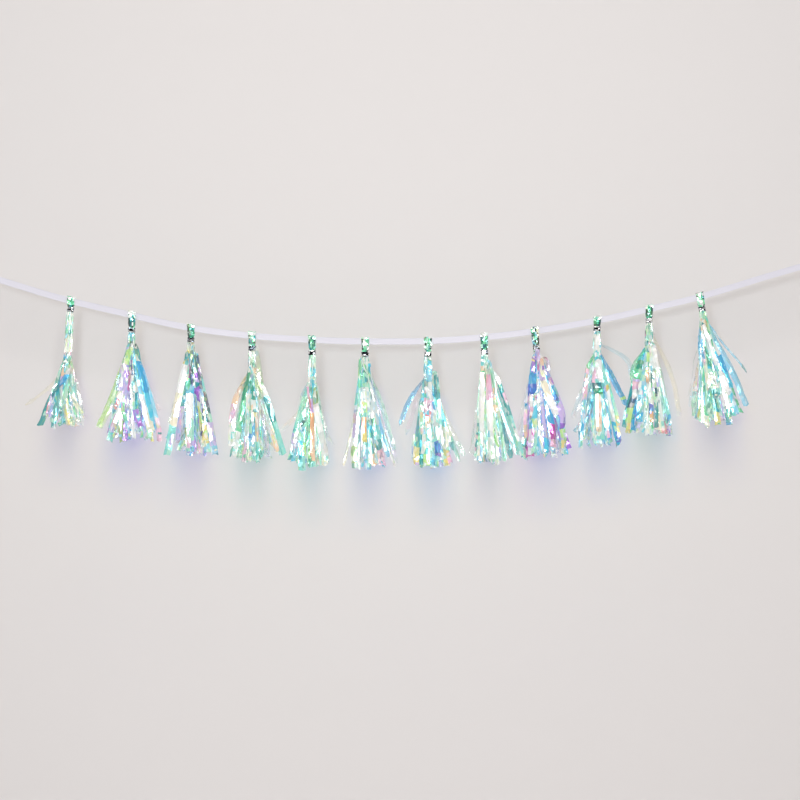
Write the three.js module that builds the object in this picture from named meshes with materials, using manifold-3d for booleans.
// Tassel garland: twelve iridescent film tassels threaded on one flat satin ribbon.
// Millimetres, +Z up. X runs along the garland, -Y faces the room and +Y faces the wall.
// The origin is the spot inside the left hanging loop where its hook bears.
import * as THREE from "three";
import { mergeVertices } from "three/addons/utils/BufferGeometryUtils.js";
import Module from "manifold-3d";

const wasm = await Module();
wasm.setup();

// Room left between pieces that touch
const CLEARANCE = 0.3;

// Ribbon
const RIBBON_WIDTH = 10;
const RIBBON_THICKNESS = 0.6;
const RIBBON_STEP = 24;

// Overhand knot at each end of the ribbon, and the hanging loop tied beyond it
const KNOT_LENGTH = 12;
const KNOT_WIDTH = 13;
const KNOT_DEPTH = 8.5;
const KNOT_WRAP_WIDTH = 4.5;
const KNOT_WRAP_THICKNESS = 1.4;
const HANGING_LOOP_LENGTH = 41;
const HANGING_LOOP_WIDTH = 18;
const HANGING_LOOP_LEG_GAP = 0.6;

// Tassels: each is one strip-cut sheet of film, rolled, folded over the ribbon and tied.
// The headroom lets a film loop slide along the sagging ribbon.
const FIRST_TASSEL_X = 180.8;
const TASSEL_SPACING = 91.5;
const TASSEL_LENGTH = 211;
const FILM_LOOP_WIDTH = 12.5;
const FILM_LOOP_THICKNESS = 1.6;
const FILM_LOOP_ROOM = 1.2;
const FILM_LOOP_HEADROOM = 0.6;
const WAIST_WIDTH = 8.5;
const WAIST_LEG_GAP = 0.5;
const TIE_HEIGHT = 8;
const TIE_WALL = 0.7;
const TIE_WRAP_RISE = 0.7;
const NECK_WIDTH = 11.5;
const NECK_DEPTH = 7.5;
const NECK_FLARE = 3;
const SKIRT_REACH = 46;
const SKIRT_DEPTH = 48;
const STRIP_WIDTH = 7;
const STRIP_ROOT_WIDTH = 1.8;
const STRIP_THICKNESS = 0.5;
const STRIP_ROOT_DEPTH = 5;
const STRIP_BOW = 4;

// The ribbon's route between its knots, [x, z]: it sags between two hooks under the tassels' weight
const ribbonRoute = [
  [51.2, -15.8], [67.2, -20.74], [102.4, -31.6], [139.2, -42.95], [180.8, -54.4], [227.2, -65.3],
  [278.4, -77.1], [323.2, -87.7], [372.8, -97.6], [419.2, -104.2], [470.4, -110.1], [518.4, -113.8],
  [566.4, -116.5], [611.2, -118.2], [651.2, -118.9], [704, -119.1], [752, -118.4], [796.8, -116],
  [841.6, -112.3], [883.2, -107.8], [923.2, -102.4], [971.2, -94.7], [1022.4, -85.8], [1064, -76.9],
  [1105.6, -67.2], [1147.2, -57.6], [1187.2, -47.7], [1235.2, -33.4], [1283.2, -18.5], [1315.2, -9.1],
  [1347.2, 0.2], [1363.2, 4.8],
];

// One entry a tassel, left to right. alongShare moves it along from even spacing, in spacings.
// tieShare is how far below the ribbon's middle its tie begins and neckShare how long its gathered
// neck is, in tassel lengths. leftShare and rightShare are the skirt's reaches to each side.
// A wisp is a strip that stands off: [reach, drop of its tip, bow, where it leaves the neck].
const tasselShares = [
  {
    alongShare: 0, leanDegrees: -3.5, tieShare: 0.045, neckShare: 0.34, strips: 14,
    leftShare: 0.56, rightShare: 0.7, wispShares: [],
  },
  {
    alongShare: 0.066, leanDegrees: -1, tieShare: 0.095, neckShare: 0.1, strips: 19,
    leftShare: 0.74, rightShare: 0.98, wispShares: [[-1.14, 0.885, 0, 1]],
  },
  {
    alongShare: 0.098, leanDegrees: 0, tieShare: 0.07, neckShare: 0.08, strips: 19,
    leftShare: 0.86, rightShare: 0.92, wispShares: [],
  },
  {
    alongShare: 0.166, leanDegrees: 0, tieShare: 0.075, neckShare: 0.16, strips: 17,
    leftShare: 0.55, rightShare: 0.7,
    wispShares: [[-0.83, 0.95, -0.3, 1], [-0.72, 0.84, 0.3, 1], [1.1, 0.93, 0, 1]],
  },
  {
    alongShare: 0.215, leanDegrees: 0, tieShare: 0.077, neckShare: 0.2, strips: 18,
    leftShare: 0.6, rightShare: 0.64, wispShares: [[-0.72, 0.82, 0.5, 1]],
  },
  {
    alongShare: 0.142, leanDegrees: 0, tieShare: 0.08, neckShare: 0.08, strips: 16,
    leftShare: 0.5, rightShare: 0.5,
    wispShares: [[-0.82, 0.97, -0.2, 1], [1.12, 0.86, 0.4, 1], [0.88, 0.9, 0, 1], [0.72, 0.93, 0, 1]],
  },
  {
    alongShare: 0.243, leanDegrees: 0, tieShare: 0.08, neckShare: 0.16, strips: 17,
    leftShare: 0.56, rightShare: 0.7,
    wispShares: [[-0.8, 0.67, 1.4, 1], [1.22, 0.94, 0, 1], [0.96, 0.86, 0.4, 1]],
  },
  {
    alongShare: 0.222, leanDegrees: 2, tieShare: 0.095, neckShare: 0.1, strips: 16,
    leftShare: 0.56, rightShare: 0.74, wispShares: [[1.1, 0.92, 0.3, 1], [0.92, 0.95, 0, 1]],
  },
  {
    alongShare: 0.107, leanDegrees: 6, tieShare: 0.11, neckShare: 0.06, strips: 19,
    leftShare: 0.96, rightShare: 0.84, wispShares: [],
  },
  {
    alongShare: 0.199, leanDegrees: 0, tieShare: 0.042, neckShare: 0.17, strips: 19,
    leftShare: 0.84, rightShare: 0.82, wispShares: [[0.88, 0.66, 0.6, 1]],
  },
  {
    alongShare: 0.108, leanDegrees: 0, tieShare: 0.07, neckShare: 0.19, strips: 19,
    leftShare: 0.78, rightShare: 0.8, wispShares: [[-0.6, 0.62, 1.6, 1]],
  },
  {
    alongShare: 0, leanDegrees: 9, tieShare: 0.077, neckShare: 0.12, strips: 17,
    leftShare: 1.04, rightShare: 0.7,
    wispShares: [[1.1, 0.9, 0.3, 0.5], [1.28, 0.66, 0.2, 0.5], [-0.36, 0.55, 0.8, 0.6]],
  },
];

const satin = new THREE.MeshStandardMaterial({ color: 0xe9e4f4, roughness: 0.45, metalness: 0 });
const foil = new THREE.MeshStandardMaterial({ color: 0xc9ccd0, roughness: 0.2, metalness: 1 });
const loopFilm = new THREE.MeshStandardMaterial({ color: 0x7fd6bd, roughness: 0.15, metalness: 0.3 });
const skirtFilm = new THREE.MeshStandardMaterial({ color: 0xc4ece6, roughness: 0.15, metalness: 0.3 });

// A repeatable value from 0 to 1 for a tassel, a strip and a use
function chance(tassel, strip, use) {
  const wave = Math.sin(tassel * 12.9898 + strip * 78.233 + use * 37.719) * 43758.5453;
  return wave - Math.floor(wave);
}

// A closed skin over rings of points, each ring with as many points, its ends closed flat.
// Opposite sides are split along the same diagonal, so a thin strip keeps its thickness in a twist.
function loft(rings) {
  const sides = rings[0].length;
  const positions = rings.flat().flatMap((point) => [point.x, point.y, point.z]);
  const faces = [];
  for (let ring = 0; ring < rings.length - 1; ring += 1) {
    const here = ring * sides;
    const beyond = here + sides;
    for (let side = 0; side < sides; side += 1) {
      const next = (side + 1) % sides;
      if (side < sides / 2) {
        faces.push(here + side, beyond + side, beyond + next);
        faces.push(here + side, beyond + next, here + next);
      } else {
        faces.push(here + side, beyond + side, here + next);
        faces.push(here + next, beyond + side, beyond + next);
      }
    }
  }
  const last = (rings.length - 1) * sides;
  for (let side = 1; side < sides - 1; side += 1) {
    faces.push(0, side, side + 1);
    faces.push(last, last + side + 1, last + side);
  }
  return facingOut(positions, faces);
}

// A closed ring of sections: the last section joins the first
function band(sections) {
  const sides = sections[0].length;
  const positions = sections.flat().flatMap((point) => [point.x, point.y, point.z]);
  const faces = [];
  for (let section = 0; section < sections.length; section += 1) {
    for (let side = 0; side < sides; side += 1) {
      const next = (side + 1) % sides;
      const here = section * sides;
      const beyond = ((section + 1) % sections.length) * sides;
      faces.push(here + side, beyond + side, beyond + next);
      faces.push(here + side, beyond + next, here + next);
    }
  }
  return facingOut(positions, faces);
}

function facingOut(positions, faces) {
  let volume = 0;
  const corner = (index) => new THREE.Vector3().fromArray(positions, index * 3);
  for (let face = 0; face < faces.length; face += 3) {
    const [a, b, c] = [corner(faces[face]), corner(faces[face + 1]), corner(faces[face + 2])];
    volume += a.dot(b.cross(c));
  }
  const turned = volume < 0 ? faces.toReversed() : faces;
  const geometry = new THREE.BufferGeometry();
  geometry.setAttribute("position", new THREE.Float32BufferAttribute(positions, 3));
  geometry.setIndex(turned);
  return geometry;
}

function solidOf(geometry) {
  const bare = new THREE.BufferGeometry();
  bare.setAttribute("position", geometry.getAttribute("position"));
  bare.setIndex(geometry.getIndex());
  const merged = mergeVertices(bare);
  const vertProperties = new Float32Array(merged.getAttribute("position").array);
  const triVerts = new Uint32Array(merged.getIndex().array);
  return new wasm.Manifold(new wasm.Mesh({ numProp: 3, vertProperties, triVerts }));
}

function joined(geometries) {
  const whole = geometries.map(solidOf).reduce((sum, piece) => sum.add(piece));
  const mesh = whole.getMesh();
  const geometry = new THREE.BufferGeometry();
  geometry.setAttribute("position", new THREE.Float32BufferAttribute(mesh.vertProperties, 3));
  geometry.setIndex(Array.from(mesh.triVerts));
  return geometry;
}

function named(name, geometry, material) {
  const mesh = new THREE.Mesh(geometry, material);
  mesh.name = name;
  return mesh;
}

// The ribbon lies edge up, with its flat side towards the room
const route = new THREE.CatmullRomCurve3(
  ribbonRoute.map(([x, z]) => new THREE.Vector3(x, 0, z)),
  false,
  "centripetal",
);
route.arcLengthDivisions = 2000;

// A flat strip of ribbon along a path in the X-Z plane: depth is its size along Y
function flatStrip(path, depth, rise, steps) {
  const section = new THREE.Shape();
  section.moveTo(-depth / 2, -rise / 2);
  section.lineTo(depth / 2, -rise / 2);
  section.lineTo(depth / 2, rise / 2);
  section.lineTo(-depth / 2, rise / 2);
  section.closePath();
  return new THREE.ExtrudeGeometry(section, { extrudePath: path, steps, bevelEnabled: false });
}

function ribbon() {
  const steps = Math.round(route.getLength() / RIBBON_STEP);
  return flatStrip(route, RIBBON_THICKNESS, RIBBON_WIDTH, steps);
}

// An overhand knot, its length along X: a pinched core and one slanting wrap round its waist
const knotProfileShares = [
  [-0.5, 0.78, 0.2], [-0.36, 0.96, 0.8], [-0.14, 0.86, 0.94], [0.14, 0.86, 0.94], [0.36, 0.96, 0.8],
  [0.5, 0.6, 0.42],
];
const KNOT_SIDES = 10;
const WRAP_SLANT_SHARE = 0.22;
function knot() {
  const around = (side) => (2 * Math.PI * (side + 0.5)) / KNOT_SIDES;
  const rings = knotProfileShares.map(([alongShare, widthShare, depthShare]) => {
    const ring = [];
    for (let side = 0; side < KNOT_SIDES; side += 1) {
      const y = (Math.sin(around(side)) * KNOT_DEPTH * depthShare) / 2;
      const z = (Math.cos(around(side)) * KNOT_WIDTH * widthShare) / 2;
      ring.push(new THREE.Vector3(KNOT_LENGTH * alongShare, y, z));
    }
    return ring;
  });
  const sections = [];
  for (let side = 0; side < KNOT_SIDES; side += 1) {
    const y = Math.sin(around(side));
    const z = Math.cos(around(side));
    const middle = KNOT_LENGTH * WRAP_SLANT_SHARE * z;
    const corner = (edge, lift) => {
      const depth = KNOT_DEPTH / 2 + lift - KNOT_WRAP_THICKNESS / 2;
      const width = KNOT_WIDTH / 2 + lift - KNOT_WRAP_THICKNESS / 2;
      return new THREE.Vector3(middle + (edge * KNOT_WRAP_WIDTH) / 2, y * depth, z * width);
    };
    const low = -KNOT_WRAP_THICKNESS / 2;
    const high = KNOT_WRAP_THICKNESS / 2;
    sections.push([corner(-1, low), corner(1, low), corner(1, high), corner(-1, high)]);
  }
  return joined([loft(rings), band(sections)]);
}

// The ribbon's tail turned back on itself as a drop-shaped loop that starts at the knot, along X
const hangingLoopShares = [
  [0.12, 0.26], [0.32, 0.62], [0.56, 0.94], [0.78, 0.96], [0.94, 0.58],
];
const HANGING_LOOP_STEPS = 25;
function hangingLoopPath() {
  const tip = HANGING_LOOP_LENGTH + RIBBON_THICKNESS / 2;
  const leg = (HANGING_LOOP_LEG_GAP + RIBBON_THICKNESS) / 2;
  const half = (HANGING_LOOP_WIDTH - RIBBON_THICKNESS) / 2;
  const upper = [new THREE.Vector3(0, 0, leg)];
  for (const [alongShare, widthShare] of hangingLoopShares) {
    upper.push(new THREE.Vector3(tip * alongShare, 0, leg + (half - leg) * widthShare));
  }
  const lower = upper.map((point) => new THREE.Vector3(point.x, 0, -point.z)).reverse();
  return new THREE.CatmullRomCurve3([...upper, new THREE.Vector3(tip, 0, 0), ...lower]);
}

function hangingLoop() {
  return flatStrip(hangingLoopPath(), RIBBON_WIDTH, RIBBON_THICKNESS, HANGING_LOOP_STEPS);
}

// Sizes that the film loop, its tie and the top of the skirt share, for one tassel.
// Heights are from the ribbon's middle, along the tassel's own hanging line, and slope is the
// ribbon's as that line sees it.
function hangingSizes(shares, slope) {
  const ribbonTop = (RIBBON_WIDTH / 2) * Math.hypot(1, slope);
  const loopTop = ribbonTop + FILM_LOOP_HEADROOM + FILM_LOOP_THICKNESS;
  const tieTop = -TASSEL_LENGTH * shares.tieShare;
  const tieBottom = tieTop - TIE_HEIGHT;
  const pivot = tieBottom - CLEARANCE - NECK_DEPTH / 2;
  const neckBottom = pivot - TASSEL_LENGTH * shares.neckShare;
  const tips = loopTop - TASSEL_LENGTH;
  return { loopTop, tieTop, tieBottom, pivot, neckBottom, tips };
}

// The film's middle, gathered into a strap that goes up behind the ribbon, over it and down in front.
// The strap's top lies along the ribbon's slope.
const STRAP_ARCH_STEPS = 5;
const strapLegShares = [[0.3, 0.9], [0.65, 0.94]];
function filmLoop(sizes, slope) {
  const waistOffset = (WAIST_LEG_GAP + FILM_LOOP_THICKNESS) / 2;
  const topOffset = RIBBON_THICKNESS / 2 + FILM_LOOP_ROOM + FILM_LOOP_THICKNESS / 2;
  const archHeight = sizes.loopTop - FILM_LOOP_THICKNESS / 2;
  const springHeight = archHeight - topOffset;
  const drop = springHeight - sizes.tieTop;
  const leg = [
    { height: sizes.tieBottom, offset: waistOffset, width: WAIST_WIDTH },
    { height: sizes.tieTop, offset: waistOffset, width: WAIST_WIDTH },
  ];
  for (const [riseShare, widthShare] of strapLegShares) {
    const height = sizes.tieTop + drop * riseShare;
    leg.push({ height, offset: topOffset, width: FILM_LOOP_WIDTH * widthShare });
  }
  const stations = leg.map((place) => ({ ...place, side: 1, turn: 0 }));
  for (let step = 0; step <= STRAP_ARCH_STEPS; step += 1) {
    const turn = (Math.PI * step) / STRAP_ARCH_STEPS;
    stations.push({
      height: springHeight + topOffset * Math.sin(turn),
      offset: topOffset * Math.cos(turn),
      width: FILM_LOOP_WIDTH,
      side: 1,
      turn,
    });
  }
  stations.push(...leg.toReversed().map((place) => ({ ...place, side: -1, turn: Math.PI })));
  const rings = stations.map(({ height, offset, width, side, turn }) => {
    const follow = THREE.MathUtils.clamp((height - sizes.tieTop) / drop, 0, 1);
    const corner = (across, out) => {
      const x = (across * width) / 2;
      const reach = (out * FILM_LOOP_THICKNESS) / 2;
      const y = offset * side + reach * Math.cos(turn);
      return new THREE.Vector3(x, y, height + reach * Math.sin(turn) + slope * x * follow);
    };
    return [corner(-1, -1), corner(1, -1), corner(1, 1), corner(-1, 1)];
  });
  return loft(rings);
}

// Foil tape wound twice round the waist: a closed band with a groove between the two turns
const tieCornerShares = [
  [1, 0, 1], [1, 1, 0.75], [0, 1, 1], [-1, 1, 0.75], [-1, 0, 1], [-1, -1, 0.75], [0, -1, 1], [1, -1, 0.75],
];
const tieWrapShares = [[1, 0.2], [0.76, 1], [0.5, 0.1], [0.26, 1], [0, 0.2]];
const TIE_SLANT_SHARE = 0.12;
function tie(sizes, slant) {
  const insideWidth = WAIST_WIDTH / 2 + CLEARANCE;
  const insideDepth = WAIST_LEG_GAP / 2 + FILM_LOOP_THICKNESS + CLEARANCE;
  const sections = tieCornerShares.map(([acrossShare, depthShare, liftShare]) => {
    const place = (heightShare, lift) => {
      const x = acrossShare * (insideWidth + lift * liftShare);
      const y = depthShare * (insideDepth + lift * liftShare);
      return new THREE.Vector3(x, y, sizes.tieBottom + TIE_HEIGHT * heightShare + slant * x);
    };
    const outside = tieWrapShares.map(([heightShare, riseShare]) =>
      place(heightShare, TIE_WALL + TIE_WRAP_RISE * riseShare));
    return [place(0, 0), place(1, 0), ...outside];
  });
  return band(sections);
}

// The gathered neck under the tie: a fluted bundle whose top is rounded about the swing axis
const NECK_SIDES = 10;
const neckRoundShares = [0.94, 0.7, 0];
const NECK_FLUTE_SHARE = 0.16;
const FLARE_FLUTE_SHARE = 0.2;
function neck(sizes) {
  const places = neckRoundShares.map((riseShare) => ({
    height: sizes.pivot + (NECK_DEPTH / 2) * riseShare,
    halfDepth: (NECK_DEPTH / 2) * Math.sqrt(1 - riseShare * riseShare),
    halfWidth: (WAIST_WIDTH + (NECK_WIDTH - WAIST_WIDTH) * (1 - riseShare)) / 2,
    flute: 0,
  }));
  const length = sizes.pivot - sizes.neckBottom;
  places.push({
    height: sizes.pivot - length / 2,
    halfDepth: NECK_DEPTH / 2,
    halfWidth: NECK_WIDTH / 2,
    flute: NECK_FLUTE_SHARE,
  });
  places.push({
    height: sizes.neckBottom,
    halfDepth: (NECK_DEPTH + NECK_FLARE) / 2,
    halfWidth: (NECK_WIDTH + NECK_FLARE) / 2,
    flute: FLARE_FLUTE_SHARE,
  });
  const rings = places.map(({ height, halfDepth, halfWidth, flute }) => {
    const ring = [];
    for (let side = 0; side < NECK_SIDES; side += 1) {
      const turn = (2 * Math.PI * side) / NECK_SIDES;
      const share = side % 2 ? 1 - flute : 1;
      const x = Math.cos(turn) * halfWidth * share;
      const y = Math.sin(turn) * halfDepth * share;
      ring.push(new THREE.Vector3(x, y, height));
    }
    return ring;
  });
  return loft(rings);
}

// One strip of film from inside the neck to its cut end, gathered narrow where it leaves the neck
const wispStepShares = [0, 0.2, 0.45, 0.72, 1];
const outerStepShares = [0, 0.25, 0.6, 1];
const innerStepShares = [0, 0.42, 1];
const SPREAD_POWER = 1.15;
const OPENING_POWER = 1.3;
const OPENING_SHARE = 0.8;
function strip({ root, tip, bow, turn, twist, stepShares }) {
  const outward = new THREE.Vector3(tip.x - root.x, tip.y - root.y, 0).normalize();
  const rings = stepShares.map((share) => {
    const spread = share ** SPREAD_POWER;
    const centre = new THREE.Vector3(
      root.x + (tip.x - root.x) * spread,
      root.y + (tip.y - root.y) * spread,
      root.z + (tip.z - root.z) * share,
    );
    centre.addScaledVector(outward, bow * Math.sin(Math.PI * share));
    const angle = turn + twist * share;
    const across = new THREE.Vector3(Math.cos(angle), Math.sin(angle), 0);
    const through = new THREE.Vector3(-Math.sin(angle), Math.cos(angle), 0);
    const grown = Math.min(1, share / OPENING_SHARE) ** OPENING_POWER;
    const width = STRIP_ROOT_WIDTH + (STRIP_WIDTH - STRIP_ROOT_WIDTH) * grown;
    const corner = (side, face) => centre.clone()
      .addScaledVector(across, (side * width) / 2)
      .addScaledVector(through, (face * STRIP_THICKNESS) / 2);
    return [corner(-1, -1), corner(1, -1), corner(1, 1), corner(-1, 1)];
  });
  return loft(rings);
}

// Where the strips of a skirt start in the neck and end at the hem, in rings round its middle line
const hemRings = [
  { countShare: 0.56, reachShare: 0.94, stepShares: outerStepShares },
  { countShare: 0.33, reachShare: 0.56, stepShares: innerStepShares },
  { countShare: 0.11, reachShare: 0.16, stepShares: innerStepShares },
];
const STRIPS_PER_SEED_RING = 40;
const SPACING_CHANCE_SHARE = 0.3;
const REACH_CHANCE_SHARE = 0.12;
const RAGGED_SHARE = 0.07;
const OUTWARD_BOW_SHARE = 0.65;
const ROOT_SPREAD_SHARE = 0.82;
const STRIP_TWIST_DEGREES = 74;
const WISP_TURN_DEGREES = 29;
function skirtStrips(number, shares, sizes) {
  const made = [];
  const rootHeight = sizes.neckBottom + STRIP_ROOT_DEPTH;
  const length = rootHeight - sizes.tips;
  hemRings.forEach(({ countShare, reachShare, stepShares }, ring) => {
    const count = 2 * Math.round((shares.strips * countShare) / 2);
    for (let index = 0; index < count; index += 1) {
      const seed = ring * STRIPS_PER_SEED_RING + index;
      const jitter = SPACING_CHANCE_SHARE * (chance(number, seed, 1) - 0.5);
      const angle = (2 * Math.PI * (index + jitter + 0.25 * ring)) / count;
      const sideShare = Math.cos(angle) < 0 ? shares.leftShare : shares.rightShare;
      const spread = reachShare + REACH_CHANCE_SHARE * (chance(number, seed, 2) - 0.5);
      const reach = Math.cos(angle) * spread * (SKIRT_REACH * sideShare - STRIP_WIDTH / 2);
      const depth = (Math.sin(angle) * spread * SKIRT_DEPTH) / 2;
      const cut = length * (1 - RAGGED_SHARE * chance(number, seed, 3));
      const root = new THREE.Vector3(
        (Math.cos(angle) * reachShare * ROOT_SPREAD_SHARE * NECK_WIDTH) / 2,
        (Math.sin(angle) * reachShare * ROOT_SPREAD_SHARE * NECK_DEPTH) / 2,
        rootHeight,
      );
      const drop = Math.sqrt(cut * cut - reach * reach - depth * depth);
      const tip = new THREE.Vector3(reach, depth, rootHeight - drop);
      const bow = STRIP_BOW * (chance(number, seed, 4) + OUTWARD_BOW_SHARE - 1);
      const skirtWidth = 2 * SKIRT_REACH * sideShare;
      const turn = Math.atan2(Math.cos(angle) * SKIRT_DEPTH, -Math.sin(angle) * skirtWidth);
      const twist = THREE.MathUtils.degToRad(STRIP_TWIST_DEGREES) * (chance(number, seed, 5) - 0.5);
      made.push(strip({ root, tip, bow, turn, twist, stepShares }));
    }
  });
  shares.wispShares.forEach(([reachShare, dropShare, bowShare, leaveShare], index) => {
    const side = Math.sign(reachShare);
    const height = sizes.pivot + (sizes.neckBottom - sizes.pivot) * leaveShare;
    const edge = (side * (NECK_WIDTH - STRIP_ROOT_WIDTH)) / 2;
    const root = new THREE.Vector3(edge, 0, height + STRIP_ROOT_DEPTH * leaveShare);
    const y = (SKIRT_DEPTH / 6) * (index % 2 ? 1 : -1);
    const tip = new THREE.Vector3(
      reachShare * SKIRT_REACH - (side * STRIP_WIDTH) / 2,
      y,
      sizes.loopTop - TASSEL_LENGTH * dropShare,
    );
    const bow = STRIP_BOW * bowShare * 2;
    const turn = side * THREE.MathUtils.degToRad(WISP_TURN_DEGREES);
    made.push(strip({ root, tip, bow, turn, twist: 0, stepShares: wispStepShares }));
  });
  return made;
}

// The hook bears on the flat facet inside the loop's tip, and that of the left loop is at the origin
const tipFacetShare = (HANGING_LOOP_STEPS - 1) / 2 / HANGING_LOOP_STEPS;
const tipPoint = hangingLoopPath().getPointAt(tipFacetShare);
const tipTangent = hangingLoopPath().getTangentAt(tipFacetShare);
const loopReach = tipPoint.x - (RIBBON_THICKNESS / 2) * Math.abs(tipTangent.z);
const start = route.getPointAt(0);
const startTangent = route.getTangentAt(0);
const end = route.getPointAt(1);
const endTangent = route.getTangentAt(1);
const bearing = start.clone()
  .addScaledVector(startTangent, -(KNOT_LENGTH + 2 * CLEARANCE + loopReach));

const garland = new THREE.Group();
const hung = new THREE.Group();
hung.position.copy(bearing).negate();
garland.add(hung);
hung.add(named("ribbon", ribbon(), satin));

// An end group lies with its X axis pointing away from the ribbon
function ribbonEnd(side, point, outward) {
  const group = new THREE.Group();
  group.position.copy(point);
  group.rotation.y = -Math.atan2(outward.z, outward.x);
  const tied = named(`${side}_knot`, knot(), satin);
  tied.position.x = CLEARANCE + KNOT_LENGTH / 2;
  const loop = named(`${side}_hanging_loop`, hangingLoop(), satin);
  loop.position.x = KNOT_LENGTH + 2 * CLEARANCE;
  group.add(tied, loop);
  return group;
}
hung.add(ribbonEnd("left", start, startTangent.clone().negate()));
hung.add(ribbonEnd("right", end, endTangent));

// The route's share of length at a distance along X
function routeShareAt(x) {
  let [low, high] = [0, 1];
  while (high - low > 1e-9) {
    const middle = (low + high) / 2;
    if (route.getPointAt(middle).x < x) low = middle;
    else high = middle;
  }
  return low;
}

tasselShares.forEach((shares, index) => {
  const number = index + 1;
  const label = `tassel_${String(number).padStart(2, "0")}`;
  const share = routeShareAt(FIRST_TASSEL_X + TASSEL_SPACING * (index + shares.alongShare));
  const tangent = route.getTangentAt(share);
  const lean = THREE.MathUtils.degToRad(shares.leanDegrees);
  const slope = Math.tan(Math.atan2(tangent.z, tangent.x) - lean);
  const sizes = hangingSizes(shares, slope);
  const slant = TIE_SLANT_SHARE * (chance(number, 0, 6) * 2 - 1);
  const group = new THREE.Group();
  group.position.copy(route.getPointAt(share));
  group.rotation.y = -lean;
  group.add(named(`${label}_loop`, filmLoop(sizes, slope), loopFilm));
  group.add(named(`${label}_tie`, tie(sizes, slant), foil));
  const fringe = joined([neck(sizes), ...skirtStrips(number, shares, sizes)]);
  group.add(named(`${label}_fringe`, fringe, skirtFilm));
  hung.add(group);
});

export default garland;
